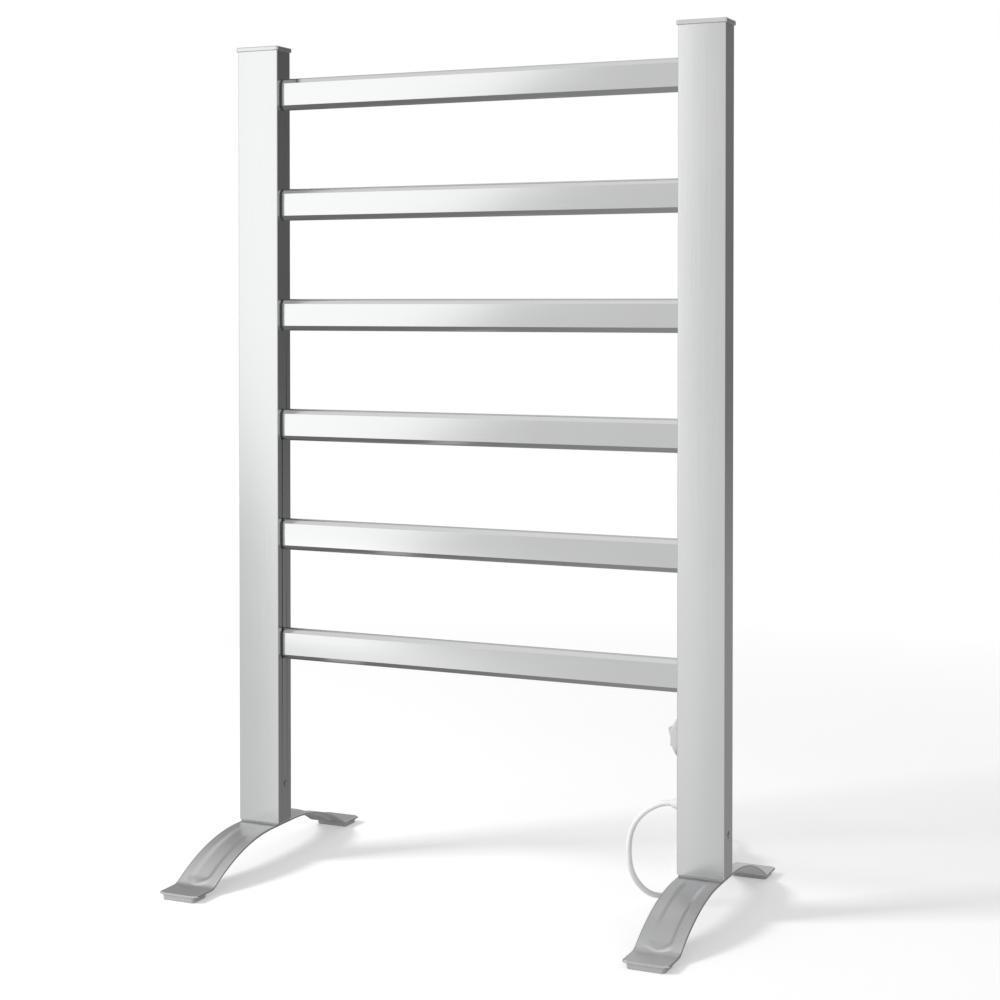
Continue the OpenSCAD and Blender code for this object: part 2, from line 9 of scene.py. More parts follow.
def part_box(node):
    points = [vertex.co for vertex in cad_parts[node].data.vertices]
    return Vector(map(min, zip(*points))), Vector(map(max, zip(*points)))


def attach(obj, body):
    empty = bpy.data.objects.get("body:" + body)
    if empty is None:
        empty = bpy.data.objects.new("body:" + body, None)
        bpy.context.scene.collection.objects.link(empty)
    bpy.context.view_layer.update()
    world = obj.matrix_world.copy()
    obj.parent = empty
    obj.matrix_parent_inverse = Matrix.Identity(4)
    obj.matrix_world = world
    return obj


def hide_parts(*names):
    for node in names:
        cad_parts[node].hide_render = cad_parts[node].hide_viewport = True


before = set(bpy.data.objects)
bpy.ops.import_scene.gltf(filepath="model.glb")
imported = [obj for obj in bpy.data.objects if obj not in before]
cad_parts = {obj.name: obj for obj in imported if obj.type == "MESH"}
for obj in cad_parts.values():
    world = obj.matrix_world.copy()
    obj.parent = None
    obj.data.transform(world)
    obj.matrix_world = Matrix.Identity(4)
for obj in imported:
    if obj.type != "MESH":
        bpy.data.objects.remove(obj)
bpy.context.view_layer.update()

MM = 0.001
RACK = "rack"

# ---------------------------------------------------------------- sizes, in metres
POST_WALL = 1.4 * MM
POST_CORNER = 0.7 * MM
POST_CROWN = 0.5 * MM
POST_STEP = 2.6 * MM
GLAND_HOLE = 5.15 * MM
SCREW_HOLE = 3.45 * MM
RUNG_FACE = 23.0 * MM
RUNG_CHAMFER = 2.5 * MM
RUNG_SHOULDER = 1.95 * MM
RUNG_WALL = 1.2 * MM
RUNG_CROWN = 0.12 * MM
RUNG_EDGE = 0.55 * MM
RUNG_SHOULDER_EDGE = RUNG_EDGE * 0.6
RUNG_STEP = 2.0 * MM
CAP_LIP = 1.5 * MM
CAP_SKIRT = 12.0 * MM
CAP_SKIRT_PLAY = 0.3 * MM
CAP_SKIRT_WALL = 1.5 * MM
CAP_SKIRT_CORNER = 0.4 * MM
CAP_TOP_EDGE = 1.3 * MM
CAP_UNDER_EDGE = 0.35 * MM
FOOT_THICK = 2.2 * MM
FOOT_FLAT = 22.0 * MM
TOE_LEN = 31.0 * MM
TOE_TOP = 7.4 * MM
TOE_FILLET = 16.0 * MM
TOE_CORNER = 4.0 * MM
GROOVE_HALF = 12.0 * MM
GROOVE_DEEP = 1.0 * MM
GROOVE_WALL = 4.5 * MM
GROOVE_LIP = 0.7 * MM
PAD_INSET = 3.5 * MM
PAD_CORNER = 3.4 * MM
PAD_FLOOR_EDGE = 0.8 * MM
PAD_TOP_EDGE = 0.3 * MM
CORD_D = 5.6 * MM


def span(node, axis):
    """Lowest and highest value of a CAD node along an axis."""
    low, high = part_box(node)
    return low[axis], high[axis]


def reach_of(node, axis):
    """How far a CAD node reaches along an axis."""
    low, high = span(node, axis)
    return high - low


RACK_TOP = span("left_cap", 2)[1]
POST_BOTTOM, POST_TOP = span("left_post", 2)
POST_W = reach_of("right_post", 0)
POST_D = reach_of("right_post", 1)
POST_X = sum(span("right_post", 0)) / 2
FOOT_TOP = span("left_foot", 2)[1]
FOOT_W = reach_of("left_foot", 0)
FOOT_HALF = span("left_foot", 1)[1]
RUNG_COUNT = 6
HOLE_SIDES = 28
SHARP = 35.0

# Where the foot's groove ends, where it sets in along the foot, and how its lip rises and falls outwards
GROOVE_END = FOOT_HALF - TOE_LEN - 1 * MM
GROOVE_SETS_IN = (FOOT_FLAT - 4 * MM, FOOT_FLAT + 22 * MM)
LIP_RISES = (GROOVE_HALF - 8 * MM, GROOVE_HALF - 1 * MM)
LIP_FALLS = (GROOVE_HALF - 1 * MM, GROOVE_HALF + 1.5 * MM)

# The middle of the gland's tip, where the cord leaves the rack
GLAND_TIP = Vector((span("cable_gland", 0)[0], 0, 107 * MM))
# The cord's route in millimetres: x from the gland's tip, y from the middle of the post, z from the floor
CORD_ROUTE = [
    (0, 0, 107), (-5, 0, 107), (-13, 0, 105), (-22.5, 0, 100), (-31.5, 0, 93), (-39, 0, 83.5),
    (-43.5, 0, 72), (-45, 0, 60), (-45, 1, 48), (-44, 4, 36), (-41, 9, 25), (-36, 16, 15), (-30, 25, 7.5),
    (-23, 36, 4), (-16, 48, 2.8), (-10.5, 62, 2.8), (-9, 77, 2.8), (-12, 92, 2.8),
    (-18, 106, 2.8), (-26, 120, 2.8), (-33.5, 133, 2.8), (-40, 146, 2.8),
]
# The tied hank, in millimetres: its middle and turn on the floor, then the lines its runs and bends follow
HANK_AT = (-33.5, 195.5)
HANK_TURN = math.radians(18.7)
HANK_HALF_RUN = 45.0
HANK_INNER = 16.8
HANK_OUTER = 22.4
HANK_LOW = 2.8
HANK_HIGH = 8.4
# The last stretch, in the hank's own frame, from the plug's strain relief back to the hank
TAIL_ROUTE = [
    (11.2, 30, 24.2), (11.2, 37, 24.2), (11.2, 45, 23.6), (7.5, 55.5, 21.5), (0, 61, 18.5),
    (-9.5, 61.5, 15), (-18, 56.5, 11.5), (-22, 49, 9.2), (-22.4, 41, 8.4),
]


# ---------------------------------------------------------------- camera
CAMERA_AT = (0.8311, -1.7739, 0.5892)
CAMERA_DOWN = math.radians(1.0)
CAMERA_YAW = math.radians(24.33)
CAMERA_SHIFT = -0.1616
SENSOR = 36
LENS = 1.9435 * SENSOR


def make_camera():
    camera = bpy.data.objects.new("camera", bpy.data.cameras.new("camera"))
    bpy.context.scene.collection.objects.link(camera)
    camera.location = CAMERA_AT
    camera.rotation_euler = (math.pi / 2 - CAMERA_DOWN, 0, CAMERA_YAW)
    camera.data.sensor_width = SENSOR
    camera.data.lens = LENS
    camera.data.shift_y = CAMERA_SHIFT
    camera.data.clip_start = 0.05
    camera.data.clip_end = 60
    bpy.context.scene.camera = camera


# ---------------------------------------------------------------- node helpers
class Nodes:
    """A material's node tree, with short calls for the nodes that the finishes share."""

    def __init__(self, name):
        self.material = bpy.data.materials.new(name)
        self.material.use_nodes = True
        self.tree = self.material.node_tree
        self.tree.nodes.clear()
        self.output = self.add("ShaderNodeOutputMaterial")

    def add(self, kind, **inputs):
        node = self.tree.nodes.new(kind)
        for name, value in inputs.items():
            node.inputs[name.replace("_", " ")].default_value = value
        return node

    def link(self, source, target):
        self.tree.links.new(source, target)

    def feed(self, sockets, values):
        """Sets each socket to its number, or links it to its source."""
        for socket, value in zip(sockets, values):
            if isinstance(value, float):
                socket.default_value = value
            else:
                self.link(value, socket)

    def coordinates(self, scale):
        place = self.add("ShaderNodeTexCoord")
        mapping = self.add("ShaderNodeMapping", Scale=scale)
        self.link(place.outputs["Object"], mapping.inputs["Vector"])
        return mapping.outputs["Vector"]

    def noise(self, scale, stretch=(1, 1, 1), detail=3.0, rough=0.55):
        noise = self.add("ShaderNodeTexNoise", Scale=scale, Detail=detail, Roughness=rough)
        self.link(self.coordinates(stretch), noise.inputs["Vector"])
        return noise.outputs["Fac"]

    def span_of(self, fac, low, high, start=0.3, end=0.7):
        ramp = self.add("ShaderNodeMapRange", From_Min=start, From_Max=end, To_Min=low, To_Max=high)
        self.link(fac, ramp.inputs["Value"])
        return ramp.outputs["Result"]

    def colours(self, fac, low, high, start=0.3, end=0.7):
        ramp = self.add("ShaderNodeValToRGB")
        ramp.color_ramp.elements[0].position = start
        ramp.color_ramp.elements[0].color = (*low, 1)
        ramp.color_ramp.elements[1].position = end
        ramp.color_ramp.elements[1].color = (*high, 1)
        self.link(fac, ramp.inputs["Fac"])
        return ramp.outputs["Color"]

    def leaning(self, lean):
        """The surface normal turned slightly by a fixed vector."""
        geometry = self.add("ShaderNodeNewGeometry")
        turned = self.add("ShaderNodeVectorMath")
        turned.inputs[1].default_value = lean
        self.link(geometry.outputs["Normal"], turned.inputs[0])
        unit = self.add("ShaderNodeVectorMath")
        unit.operation = "NORMALIZE"
        self.link(turned.outputs["Vector"], unit.inputs[0])
        return unit.outputs["Vector"]

    def bump(self, height, distance, strength=1.0, normal=None):
        bump = self.add("ShaderNodeBump", Strength=strength, Distance=distance)
        self.link(height, bump.inputs["Height"])
        if normal is not None:
            self.link(normal, bump.inputs["Normal"])
        return bump.outputs["Normal"]


def shade(colour, share):
    return tuple(min(1.0, c * share) for c in colour)


LINE_SHARE = 0.45
CLOUD_SHARE = 0.55


def brushed_metal(name, colour, rough, stretch, bump=0.02, vary=0.03, fine=900, lean=None):
    """Anodised or drawn metal: fine lines along the length, with slow cloudy changes of tone."""
    n = Nodes(name)
    surface = n.add("ShaderNodeBsdfPrincipled", Metallic=1.0)
    lines = n.noise(fine, stretch, 2.0)
    clouds = n.noise(9, (1, 1, 1), 2.0)
    mixed = n.add("ShaderNodeMath")
    mixed.operation = "MULTIPLY_ADD"
    mixed.inputs[1].default_value = LINE_SHARE
    n.link(lines, mixed.inputs[0])
    rest = n.add("ShaderNodeMath")
    rest.operation = "MULTIPLY"
    rest.inputs[1].default_value = CLOUD_SHARE
    n.link(clouds, rest.inputs[0])
    n.link(rest.outputs["Value"], mixed.inputs[2])
    both = mixed.outputs["Value"]
    n.link(n.colours(both, shade(colour, 1 - vary), shade(colour, 1 + vary)), surface.inputs["Base Color"])
    n.link(n.span_of(both, rough * 0.9, rough * 1.12), surface.inputs["Roughness"])
    normal = n.leaning(lean) if lean else None
    n.link(n.bump(lines, bump * MM, normal=normal), surface.inputs["Normal"])
    n.link(surface.outputs["BSDF"], n.output.inputs["Surface"])
    return n.material


def moulded(name, colour, rough, vary=0.03, grain=1400, bump=0.012, soft=0.0):
    """Moulded plastic or rubber: a fine matt grain over slow changes of tone."""
    n = Nodes(name)
    surface = n.add("ShaderNodeBsdfPrincipled")
    surface.inputs["Subsurface Weight"].default_value = soft
    surface.inputs["Subsurface Radius"].default_value = (0.002, 0.002, 0.002)
    clouds = n.noise(14, (1, 1, 1), 3.0)
    pits = n.noise(grain, (1, 1, 1), 2.0)
    n.link(n.colours(clouds, shade(colour, 1 - vary), shade(colour, 1 + vary)), surface.inputs["Base Color"])
    n.link(n.span_of(pits, rough * 0.88, rough * 1.12), surface.inputs["Roughness"])
    n.link(n.bump(pits, bump * MM), surface.inputs["Normal"])
    n.link(surface.outputs["BSDF"], n.output.inputs["Surface"])
    return n.material


# How far the normals of rungs and posts lean, which moves what they reflect but not their shape
RUNG_LEAN = (0, 0, 0.055)
POST_LEAN = (-0.055, 0, 0)
# How the fine lines are drawn out along a piece; NO_GRAIN leaves them as round specks
NO_GRAIN = (1, 1, 1)
ALONG_Z = (1, 1, 0.012)
ALONG_X = (0.012, 1, 1)
ALONG_Y = (1, 0.02, 1)


def make_materials():
    silver = (0.525, 0.528, 0.532)
    return {
        "post_aluminium": brushed_metal("post_aluminium", silver, 0.24, ALONG_Z, lean=POST_LEAN),
        "rung_aluminium": brushed_metal(
            "rung_aluminium", silver, 0.15, ALONG_X, 0.008, 0.015, lean=RUNG_LEAN,
        ),
        "cap_plastic": brushed_metal("cap_plastic", (0.56, 0.562, 0.565), 0.34, NO_GRAIN, 0.006),
        "fitting_plastic": moulded("fitting_plastic", (0.10, 0.10, 0.102), 0.5),
        "foot_metal": brushed_metal("foot_metal", (0.54, 0.542, 0.546), 0.3, ALONG_Y, 0.0012, 0.012),
        "gasket_rubber": moulded("gasket_rubber", (0.40, 0.40, 0.402), 0.6),
        "bracket_steel": brushed_metal("bracket_steel", (0.45, 0.45, 0.44), 0.4, NO_GRAIN),
        "screw_steel": brushed_metal("screw_steel", (0.42, 0.42, 0.42), 0.3, NO_GRAIN),
        "pad_plastic": moulded("pad_plastic", (0.5, 0.5, 0.495), 0.4, soft=0.15),
        "bezel_plastic": moulded("bezel_plastic", (0.66, 0.66, 0.66), 0.38),
        "rocker_plastic": moulded("rocker_plastic", (0.62, 0.62, 0.62), 0.33),
        "switch_plastic": moulded("switch_plastic", (0.06, 0.06, 0.062), 0.45),
        "pin_steel": brushed_metal("pin_steel", (0.5, 0.5, 0.5), 0.3, NO_GRAIN),
        "terminal_brass": brushed_metal("terminal_brass", (0.62, 0.46, 0.2), 0.3, NO_GRAIN),
        "gland_plastic": moulded("gland_plastic", (0.88, 0.88, 0.875), 0.42),
        "cord_pvc": moulded("cord_pvc", (0.94, 0.94, 0.935), 0.42, 0.01),
        "tie_plastic": moulded("tie_plastic", (0.74, 0.74, 0.735), 0.45),
        "plug_plastic": moulded("plug_plastic", (0.78, 0.78, 0.775), 0.4),
        "plug_metal": brushed_metal("plug_metal", (0.66, 0.65, 0.62), 0.22, NO_GRAIN),
        "wire_silicone": moulded("wire_silicone", (0.32, 0.03, 0.025), 0.5),
        "block_plastic": moulded("block_plastic", (0.7, 0.7, 0.68), 0.45),
    }


# ---------------------------------------------------------------- mesh helpers
def even_normals(piece):
    even = piece.modifiers.new("even_normals", "WEIGHTED_NORMAL")
    even.keep_sharp = True
    even.weight = 80


def finish_mesh(name, bm, slot, materials, nodes, sharp=SHARP, weighted=True):
    """Turns a bmesh into a piece of the rack with its finish and the CAD nodes it stands for."""
    bmesh.ops.recalc_face_normals(bm, faces=bm.faces)
    mesh = bpy.data.meshes.new(name)
    bm.to_mesh(mesh)
    bm.free()
    piece = bpy.data.objects.new(name, mesh)
    bpy.context.scene.collection.objects.link(piece)
    mesh.shade_smooth()
    mesh.set_sharp_from_angle(angle=math.radians(sharp))
    mesh.materials.append(materials[slot])
    if weighted:
        even_normals(piece)
    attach(piece, RACK)
    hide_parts(*nodes)
    return piece


def skin(bm, loops, wrap=False):
    """Joins loops of points, each with as many as the next, by quads, and closes the ends or wraps round."""
    rings = [[bm.verts.new(p) for p in loop] for loop in loops]
    count = len(rings[0])
    pairs = list(zip(rings, rings[1:]))
    if wrap:
        pairs.append((rings[-1], rings[0]))
    for low, high in pairs:
        for k in range(count):
            bm.faces.new((low[k], low[(k + 1) % count], high[(k + 1) % count], high[k]))
    if not wrap:
        bm.faces.new(reversed(rings[0]))
        bm.faces.new(rings[-1])


def filleted(corners, radii, steps=5):
    """A closed outline with each corner rounded to its radius by an arc."""
    points = []
    count = len(corners)
    for k in range(count):
        here = Vector(corners[k])
        to_last = (Vector(corners[k - 1]) - here).normalized()
        to_next = (Vector(corners[(k + 1) % count]) - here).normalized()
        half = to_last.angle(to_next) / 2
        radius = radii[k]
        if radius <= 0 or math.pi / 2 - half < 1e-4:
            points.append(here)
            continue
        reach = radius / math.tan(half)
        middle = here + (to_last + to_next).normalized() * (radius / math.sin(half))
        first = here + to_last * reach - middle
        last = here + to_next * reach - middle
        angle_a = math.atan2(first.y, first.x)
        angle_b = math.atan2(last.y, last.x)
        sweep = (angle_b - angle_a + math.pi) % (2 * math.pi) - math.pi
        for s in range(steps + 1):
            a = angle_a + sweep * s / steps
            points.append(middle + Vector((math.cos(a), math.sin(a))) * radius)
    return points


def split_long(points, longest):
    """The same outline with its long straight sides cut into shorter ones."""
    out = []
    for k, here in enumerate(points):
        there = points[(k + 1) % len(points)]
        parts = max(1, math.ceil((there - here).length / longest))
        out += [here.lerp(there, s / parts) for s in range(parts)]
    return out


def turns(count):
    """The angles of a full turn, evenly spaced."""
    return [2 * math.pi * k / count for k in range(count)]


def quarter(steps):
    """The angles from 0 to a quarter turn, both ends included."""
    return [math.pi / 2 * k / steps for k in range(steps + 1)]


def rectangle(w, d, r, steps=5):
    corners = [(-w / 2, -d / 2), (w / 2, -d / 2), (w / 2, d / 2), (-w / 2, d / 2)]
    return filleted(corners, [r] * 4, steps)


def cut(piece, bm):
    """Takes a solid out of a piece."""
    bmesh.ops.recalc_face_normals(bm, faces=bm.faces)
    mesh = bpy.data.meshes.new("cutter")
    bm.to_mesh(mesh)
    bm.free()
    cutter = bpy.data.objects.new("cutter", mesh)
    bpy.context.scene.collection.objects.link(cutter)
    taken = piece.modifiers.new("cut", "BOOLEAN")
    taken.operation = "DIFFERENCE"
    taken.solver = "MANIFOLD"
    taken.object = cutter
    apply_modifiers(piece)
    bpy.data.objects.remove(cutter)


def apply_modifiers(piece):
    bpy.context.view_layer.update()
    graph = bpy.context.evaluated_depsgraph_get()
    done = bpy.data.meshes.new_from_object(piece.evaluated_get(graph))
    piece.modifiers.clear()
    old = piece.data
    piece.data = done
    bpy.data.meshes.remove(old)


# ---------------------------------------------------------------- posts and rungs
def rung_outline():
    """The rung's outline in depth and height: flat face, chamfer and crown."""
    half_d = reach_of("rung_1", 1) / 2
    half_h = reach_of("rung_1", 2) / 2
    face = RUNG_FACE / 2
    shoulder = half_h - RUNG_SHOULDER
    top = half_d - RUNG_CHAMFER
    rise = RUNG_SHOULDER
    crown_r = (top * top + rise * rise) / (2 * rise)
    middle = half_h - crown_r
    reach = math.asin(top / crown_r)
    angles = [reach * s / 4 for s in range(4, -5, -1)]
    arc = [(crown_r * math.sin(a), middle + crown_r * math.cos(a)) for a in angles]
    upper = [(half_d, face)] + arc + [(-half_d, face)]
    lower = [(-y, -z) for y, z in upper]
    corners = upper + lower
    radii = []
    for y, z in corners:
        on_face = abs(abs(y) - half_d) < 1e-7
        on_shoulder = abs(abs(z) - shoulder) < 1e-6
        radii.append(RUNG_EDGE if on_face else RUNG_SHOULDER_EDGE if on_shoulder else 0.0)
    return filleted(corners, radii, 4)


def inset(points, amount):
    """A closed outline moved inwards."""
    area = sum(a.x * b.y - b.x * a.y for a, b in zip(points, points[1:] + points[:1]))
    turn = 1 if area > 0 else -1
    out = []
    for k, here in enumerate(points):
        before = (here - points[k - 1]).normalized()
        after = (points[(k + 1) % len(points)] - here).normalized()
        along = (before + after).normalized()
        inward = Vector((-along.y, along.x)) * turn
        out.append(here + inward * (amount / max(0.5, inward.dot(Vector((-after.y, after.x)) * turn))))
    return out


def make_post(side, name, materials):
    """A crowned tube with its holes for the screws and rungs, and on the right for the switch and gland."""
    centre = side * POST_X
    outline = split_long(rectangle(POST_W, POST_D, POST_CORNER, 6), POST_STEP)
    crowned = []
    for p in outline:
        share = p.x / (POST_W / 2)
        ahead = POST_CROWN * share * share * (p.y / (POST_D / 2))
        crowned.append(Vector((centre + p.x, p.y - ahead)))
    inner_w = POST_W - 2 * POST_WALL
    inner_d = POST_D - 2 * POST_WALL - 2 * POST_CROWN
    inner = [Vector((centre + (p.x - centre) * inner_w / POST_W, p.y * inner_d / POST_D)) for p in crowned]
    bm = bmesh.new()
    loops = [
        [(p.x, p.y, POST_BOTTOM) for p in crowned],
        [(p.x, p.y, POST_TOP) for p in crowned],
        [(p.x, p.y, POST_TOP) for p in inner],
        [(p.x, p.y, POST_BOTTOM) for p in inner],
    ]
    skin(bm, loops, wrap=True)
    prefix = "left" if side < 0 else "right"
    piece = finish_mesh(name, bm, "post_aluminium", materials, [prefix + "_post"], weighted=False)
    holes = bmesh.new()
    screw_z = sum(span(prefix + "_side_screws", 2)) / 2
    for face in (-1, 1):
        x = centre + face * (POST_W / 2 - POST_WALL / 2)
        ring = [(SCREW_HOLE * math.cos(a), screw_z + SCREW_HOLE * math.sin(a)) for a in turns(HOLE_SIDES)]
        skin(holes, [[(x + e * POST_WALL, y, z) for y, z in ring] for e in (-1, 1)])
    inner_face = side * (POST_X - POST_W / 2 + POST_WALL / 2)
    for i in range(1, RUNG_COUNT + 1):
        middle = sum(span(f"rung_{i}", 2)) / 2
        opening = [(p.x, p.y + middle) for p in inset(rung_outline(), RUNG_WALL)]
        skin(holes, [[(inner_face + e * POST_WALL, y, z) for y, z in opening] for e in (-1, 1)])
    if side > 0:
        low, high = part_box("switch_body")
        hole = [(low.y, low.z), (high.y, low.z), (high.y, high.z), (low.y, high.z)]
        skin(holes, [[(inner_face + e * POST_WALL, y, z) for y, z in hole] for e in (-1, 1)])
        gland_z, r = GLAND_TIP.z, GLAND_HOLE
        ring = [(r * math.cos(a), gland_z + r * math.sin(a)) for a in turns(HOLE_SIDES)]
        skin(holes, [[(inner_face + e * POST_WALL, y, z) for y, z in ring] for e in (-1, 1)])
    cut(piece, holes)
    piece.data.set_sharp_from_angle(angle=math.radians(SHARP))
    even_normals(piece)
    return piece


def make_rung(i, materials):
    node = f"rung_{i}"
    low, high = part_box(node)
    middle = (low.z + high.z) / 2
    half_d = (high.y - low.y) / 2
    outline = split_long(rung_outline(), RUNG_STEP)
    crowned = []
    for p in outline:
        flat = abs(p.x) > half_d - 0.2 * MM
        share = p.y / (RUNG_FACE / 2)
        ahead = RUNG_CROWN * min(1.0, share * share)
        crowned.append(Vector((p.x - math.copysign(ahead, p.x) if flat else p.x * (1 - ahead / half_d), p.y)))
    inner = inset(crowned, RUNG_WALL)
    bm = bmesh.new()
    loops = [
        [(low.x, p.x, middle + p.y) for p in crowned],
        [(high.x, p.x, middle + p.y) for p in crowned],
        [(high.x, p.x, middle + p.y) for p in inner],
        [(low.x, p.x, middle + p.y) for p in inner],
    ]
    skin(bm, loops, wrap=True)
    return finish_mesh(f"rung_bar_{i}", bm, "rung_aluminium", materials, [node], sharp=50)


def make_cap(side, materials):
    prefix = "left" if side < 0 else "right"
    low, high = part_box(prefix + "_cap")
    w, d = high.x - low.x, high.y - low.y
    middle = (low.x + high.x) / 2
    top, under = RACK_TOP, POST_TOP
    edge, foot = CAP_TOP_EDGE, CAP_UNDER_EDGE
    corner = POST_CORNER + CAP_LIP
    levels = [(foot * (1 - math.sin(a)), under + foot * (1 - math.cos(a))) for a in quarter(4)]
    levels += [(edge * (1 - math.cos(a)), top - edge * (1 - math.sin(a))) for a in quarter(6)]
    levels.append((d * 0.3, top))
    bm = bmesh.new()
    loops = []
    skirt_w = POST_W - 2 * POST_WALL - CAP_SKIRT_PLAY
    skirt_d = POST_D - 2 * POST_WALL - CAP_SKIRT_PLAY
    inside, outside = 2 * CAP_SKIRT_WALL, 0.0
    skirt = [(inside, 0.001 * MM), (inside, CAP_SKIRT), (outside, CAP_SKIRT), (outside, 0.0)]
    for less, down in skirt:
        loops.append(rect_loop(middle, skirt_w - less, skirt_d - less, CAP_SKIRT_CORNER, under - down))
    for back, z in levels:
        loops.append(rect_loop(middle, w - 2 * back, d - 2 * back, max(0.3 * MM, corner - back * 0.6), z))
    skin(bm, loops)
    return finish_mesh(prefix + "_cap_moulding", bm, "cap_plastic", materials, [prefix + "_cap"])


def rect_loop(x, w, d, r, z):
    return [(x + p.x, p.y, z) for p in rectangle(w, d, r, 5)]


# ---------------------------------------------------------------- feet
def foot_profile(steps=60):
    """Points of the foot's top line from the middle to the toe: along, height and slope angle."""
    run = FOOT_HALF - TOE_LEN - FOOT_FLAT
    drop = FOOT_TOP - TOE_TOP
    radius = (run * run + drop * drop) / (2 * drop)
    centre = Vector((FOOT_FLAT, FOOT_TOP - radius))
    fillet_z = TOE_TOP + TOE_FILLET
    reach = radius + TOE_FILLET
    fillet = Vector((FOOT_FLAT + math.sqrt(reach ** 2 - (fillet_z - centre.y) ** 2), fillet_z))
    end = math.atan2(fillet.x - centre.x, fillet.y - centre.y)
    line = [(FOOT_FLAT * k / 8, FOOT_TOP, 0.0) for k in range(8)]
    for k in range(steps + 1):
        a = end * k / steps
        line.append((centre.x + radius * math.sin(a), centre.y + radius * math.cos(a), -a))
    for k in range(1, 9):
        a = end * (1 - k / 8)
        line.append((fillet.x - TOE_FILLET * math.sin(a), fillet.y - TOE_FILLET * math.cos(a), -a))
    start = fillet.x
    for k in range(1, 15):
        line.append((start + (FOOT_HALF - start) * k / 14, TOE_TOP, 0.0))
    return line


def smooth(a, b, value):
    """Rises smoothly from 0 at a to 1 at b."""
    t = min(1.0, max(0.0, (value - a) / (b - a)))
    return t * t * (3 - 2 * t)


def groove(u, v):
    """Depth of the pressed groove at u across and v along the foot; below 0 is the lip at its toe end."""
    past = max(0.0, abs(v) - (GROOVE_END - GROOVE_HALF))
    off = math.hypot(u, past)
    wall = 1 - smooth(GROOVE_HALF - GROOVE_WALL, GROOVE_HALF, off)
    start = smooth(*GROOVE_SETS_IN, abs(v))
    front = smooth(0.0, GROOVE_HALF * 0.7, past)
    rise = smooth(*LIP_RISES, off)
    fall = 1 - smooth(*LIP_FALLS, off)
    return GROOVE_DEEP * wall * start * (1 - front) - GROOVE_LIP * front * rise * fall


def make_foot(side, materials):
    """One plate bent along the foot's line, with the groove pressed into both of its faces."""
    prefix = "left" if side < 0 else "right"
    line = foot_profile()
    line = [(-v, h, -s) for v, h, s in reversed(line[1:])] + line
    edge = FOOT_THICK / 2
    across = 30
    loops = []
    for v, h, slope in line:
        from_end = FOOT_HALF - abs(v)
        narrow = 0.0
        if from_end < TOE_CORNER:
            narrow = TOE_CORNER - math.sqrt(max(0.0, TOE_CORNER ** 2 - (TOE_CORNER - from_end) ** 2))
        half = FOOT_W / 2 - narrow
        normal = Vector((-math.sin(slope), math.cos(slope)))
        loop = []
        flat = half - edge
        for k in range(across + 1):
            u = -flat + 2 * flat * k / across
            loop.append((u, -groove(u, v)))
        for a in (45, 90, 135):
            loop.append((flat + edge * math.sin(math.radians(a)), -edge + edge * math.cos(math.radians(a))))
        for k in range(across, -1, -1):
            u = -flat + 2 * flat * k / across
            loop.append((u, -FOOT_THICK - groove(u, v)))
        for a in (135, 90, 45):
            loop.append((-flat - edge * math.sin(math.radians(a)), -edge + edge * math.cos(math.radians(a))))
        loops.append([(side * POST_X + u, v + normal.x * n, h + normal.y * n) for u, n in loop])
    bm = bmesh.new()
    skin(bm, loops)
    return finish_mesh(prefix + "_foot_pressing", bm, "foot_metal", materials, [prefix + "_foot"], sharp=60)


def make_pad(side, end, materials):
    node = f"{'left' if side < 0 else 'right'}_{'front' if end < 0 else 'rear'}_pad"
    low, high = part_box(node)
    w, d = high.x - low.x - 2 * PAD_INSET, high.y - low.y
    x, y = (low.x + high.x) / 2, (low.y + high.y) / 2
    edge, top_edge = PAD_FLOOR_EDGE, PAD_TOP_EDGE
    levels = [(edge * (1 - math.sin(a)), edge * (1 - math.cos(a))) for a in quarter(4)]
    levels += [(top_edge * (1 - math.cos(a)), high.z - top_edge * (1 - math.sin(a))) for a in quarter(3)]
    bm = bmesh.new()
    loops = []
    for back, z in levels:
        ring = rectangle(w - 2 * back, d - 2 * back, PAD_CORNER - back, 6)
        loops.append([(x + p.x, y + p.y, z) for p in ring])
    skin(bm, loops)
    return finish_mesh(node + "_moulding", bm, "pad_plastic", materials, [node])


# ---------------------------------------------------------------- cord
def hank_point(x, y, z):
    """A point of the hank's own frame, in the frame of the cord's route."""
    c, s = math.cos(HANK_TURN), math.sin(HANK_TURN)
    return (HANK_AT[0] + x * c - y * s, HANK_AT[1] + x * s + y * c, z)


def hank_lanes():
    """Four runs up and three down, side by side and two deep: outer, inner, inner, outer."""
    arc_steps = 14
    levels = [HANK_LOW, HANK_LOW, HANK_HIGH, HANK_HIGH]
    radii = [HANK_OUTER, HANK_INNER, HANK_INNER, HANK_OUTER]
    points = []
    for turn in range(4):
        z, r = levels[turn], radii[turn]
        runs = [-HANK_HALF_RUN + 2 * HANK_HALF_RUN * s / 4 for s in range(5)]
        points += [(-r, y, z) for y in (runs if turn < 3 else runs[:4])]
        if turn == 3:
            break
        for s in range(1, arc_steps):
            a = math.pi * s / arc_steps
            points.append((-r * math.cos(a), HANK_HALF_RUN + r * math.sin(a), z))
        for y in reversed(runs):
            wide = r
            if turn == 2:
                wide = r + (HANK_OUTER - r) * smooth(HANK_HALF_RUN * 0.3, -HANK_HALF_RUN * 0.8, y)
            points.append((wide, y, z))
        if turn == 2:
            r = HANK_OUTER
        for s in range(1, arc_steps):
            share = s / arc_steps
            a = math.pi * share
            radius, height = r, z
            if turn == 0:
                radius = r + (HANK_INNER - r) * smooth(0.0, 1.0, share)
            if turn == 1:
                height = z + (HANK_HIGH - z) * smooth(0.0, 0.5, share)
            points.append((radius * math.cos(a), -HANK_HALF_RUN - radius * math.sin(a), height))
    return points


